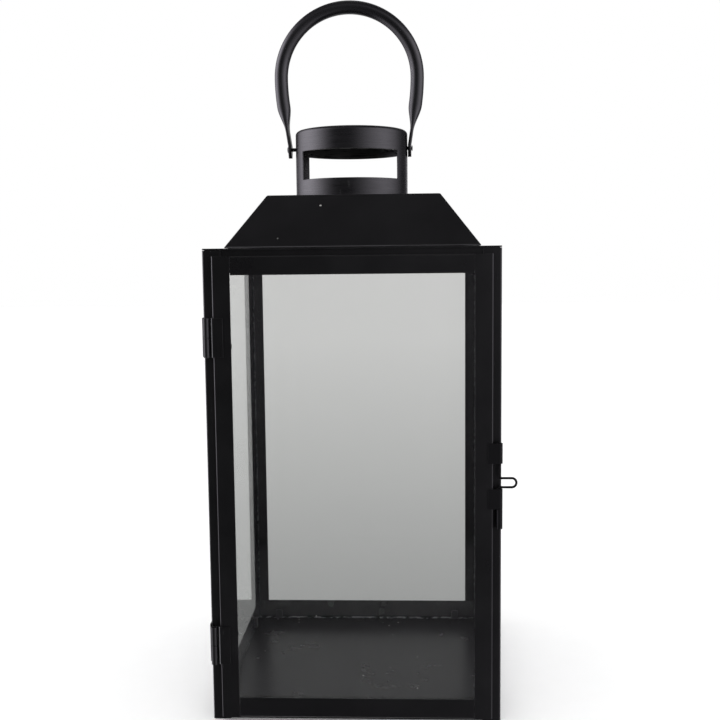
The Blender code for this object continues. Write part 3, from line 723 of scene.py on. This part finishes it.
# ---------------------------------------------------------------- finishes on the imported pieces

finishes = {"base_pan": floor_paint, "hood": hood_paint, "post_back_left": post_paint,
            "post_back_right": post_paint}
for name, obj in nodes.items():
    if obj.hide_render:
        continue
    if "tab" in name:
        set_material(obj, tab_paint)
    elif name.startswith(("hinge_pin", "handle_rivet")):
        set_material(obj, hardware)
    else:
        set_material(obj, finishes.get(name, body_paint))
    if name.startswith(("hinge_pin", "handle_rivet")):
        finish_sheet(obj, 0.12 * MM, 2)
    elif name == "ledge_ring":
        finish_sheet(obj, 0.45 * MM, 3)
    else:
        finish_sheet(obj, 0.2 * MM, 2)

# ---------------------------------------------------------------- floor and world


def stage_material():
    mat, t, shader, where = new_material("stage_floor")
    grain = t.noise(where, 40.0, 3.0, 0.5)
    t.put(shader.inputs["Base Color"], t.mix(grain, rgb(0.90, 0.90, 0.90), rgb(0.93, 0.93, 0.93)))
    t.put(shader.inputs["Roughness"], t.span(grain, 0.3, 0.7, 0.75, 0.85))
    shader.inputs["Specular IOR Level"].default_value = 0.2
    shader.inputs["Emission Color"].default_value = (1.0, 1.0, 1.0, 1.0)
    shader.inputs["Emission Strength"].default_value = 0.07
    return mat


bm = bmesh.new()
bmesh.ops.create_grid(bm, x_segments=1, y_segments=1, size=6.0)
mesh = bpy.data.meshes.new("studio_floor")
bm.to_mesh(mesh)
bm.free()
floor = bpy.data.objects.new("studio_floor", mesh)
floor.location = (0.0, 0.0, -0.0004)
mesh.materials.append(stage_material())
scene.collection.objects.link(floor)
floor.visible_glossy = False
floor.visible_transmission = False

sky_light = 1.18        # light from all round on matt surfaces
sweep_low = 0.465       # backdrop through the glass, near the floor
sweep_high = 0.80       # and above
base_gloss = 0.05       # what gloss mirrors everywhere
floor_gloss = 0.10      # and from below
left_box = 4.2
right_box = 2.45
top_strip = 0.15
back_gloss = 0.36

world = bpy.data.worlds.new("studio")
scene.world = world
world.use_nodes = True
w = Tree(world.node_tree)
background = world.node_tree.nodes["Background"]
parts = w.split(w.add("ShaderNodeTexCoord").outputs["Generated"])
path = w.add("ShaderNodeLightPath").outputs


def choose(flag, otherwise, chosen):
    node = w.add("ShaderNodeMix", data_type='FLOAT')
    w.put(node.inputs["Factor"], flag)
    w.put(node.inputs["A"], otherwise)
    w.put(node.inputs["B"], chosen)
    return node.outputs["Result"]


def product(*values):
    result = values[0]
    for value in values[1:]:
        result = w.math('MULTIPLY', result, value)
    return result


# angle round the object, 0 in front (-Y), positive towards +X
turn = w.math('ARCTAN2', parts["X"], w.math('MULTIPLY', parts["Y"], -1.0))
side = w.math('ABSOLUTE', turn)
height = parts["Z"]
# the backdrop as seen through the glass, slightly darker towards the floor
through = w.math('ADD', w.span(height, -0.33, -0.08, sweep_low, sweep_high),
                 w.span(height, -0.08, 0.02, 0.0, 0.02))
# soft boxes and backdrop as the satin paint mirrors them
upright = product(w.ease(height, 0.80, 0.50), w.ease(height, -0.32, 0.06, 0.45, 1.0))
left = product(w.ease(turn, -0.56, -1.54), w.ease(turn, -2.60, -1.48), upright, left_box)
right = product(w.ease(turn, -0.08, 1.30), w.ease(turn, 2.25, 1.15), upright, right_box)
top = product(w.ease(height, 0.30, 0.45), w.ease(height, 0.85, 0.65), w.ease(side, 1.90, 1.20), top_strip)
back = product(w.ease(side, 2.50, 2.85), back_gloss)
backdrop = product(w.ease(side, 2.74, 2.88), w.ease(height, 0.16, 0.06), through, 0.48)
mirrored = w.math('ADD', left, right)
for part in (top, back, backdrop):
    mirrored = w.math('ADD', mirrored, part)
mirrored = w.math('ADD', mirrored, w.ease(height, -0.26, 0.0, 0.35 * base_gloss, base_gloss))
mirrored = w.math('ADD', mirrored, w.ease(height, -0.30, -0.42, 0.0, floor_gloss))
level = choose(w.math('GREATER_THAN', path["Transmission Depth"], 0.5), sky_light, through)
level = choose(w.math('GREATER_THAN', path["Glossy Depth"], 0.5), level, mirrored)
level = choose(w.math('GREATER_THAN', path["Diffuse Depth"], 0.5), level, sky_light)
level = choose(path["Is Camera Ray"], level, 1.0)
tint = choose(path["Is Camera Ray"], w.math('GREATER_THAN', path["Glossy Depth"], 0.5), 0.0)
tint = w.math('MULTIPLY', tint, w.ease(side, 2.88, 2.70))
w.put(background.inputs["Color"], w.mix(tint, rgb(1.0, 1.0, 1.0), rgb(1.0, 0.955, 1.06)))
w.put(background.inputs["Strength"], level)

# ---------------------------------------------------------------- camera

camera_data = bpy.data.cameras.new("camera")
camera = bpy.data.objects.new("camera", camera_data)
scene.collection.objects.link(camera)
camera_spot = Vector((0.0351, -0.7687, 0.3205))
yaw = -0.0446
pitch = 0.1020
roll_angle = -0.0108
ahead = Vector((math.sin(yaw) * math.cos(pitch), math.cos(yaw) * math.cos(pitch), -math.sin(pitch)))
across = Vector((math.cos(yaw), -math.sin(yaw), 0.0))
upward = across.cross(ahead)
right = across * math.cos(roll_angle) + upward * math.sin(roll_angle)
up = upward * math.cos(roll_angle) - across * math.sin(roll_angle)
basis = Matrix((right, up, -ahead)).transposed().to_4x4()
camera.matrix_world = Matrix.Translation(camera_spot) @ basis
camera_data.sensor_width = 36.0
camera_data.lens = 50.11
camera_data.clip_start = 0.01
camera_data.clip_end = 50.0
scene.camera = camera
scene.view_settings.view_transform = 'Standard'

bpy.context.view_layer.update()
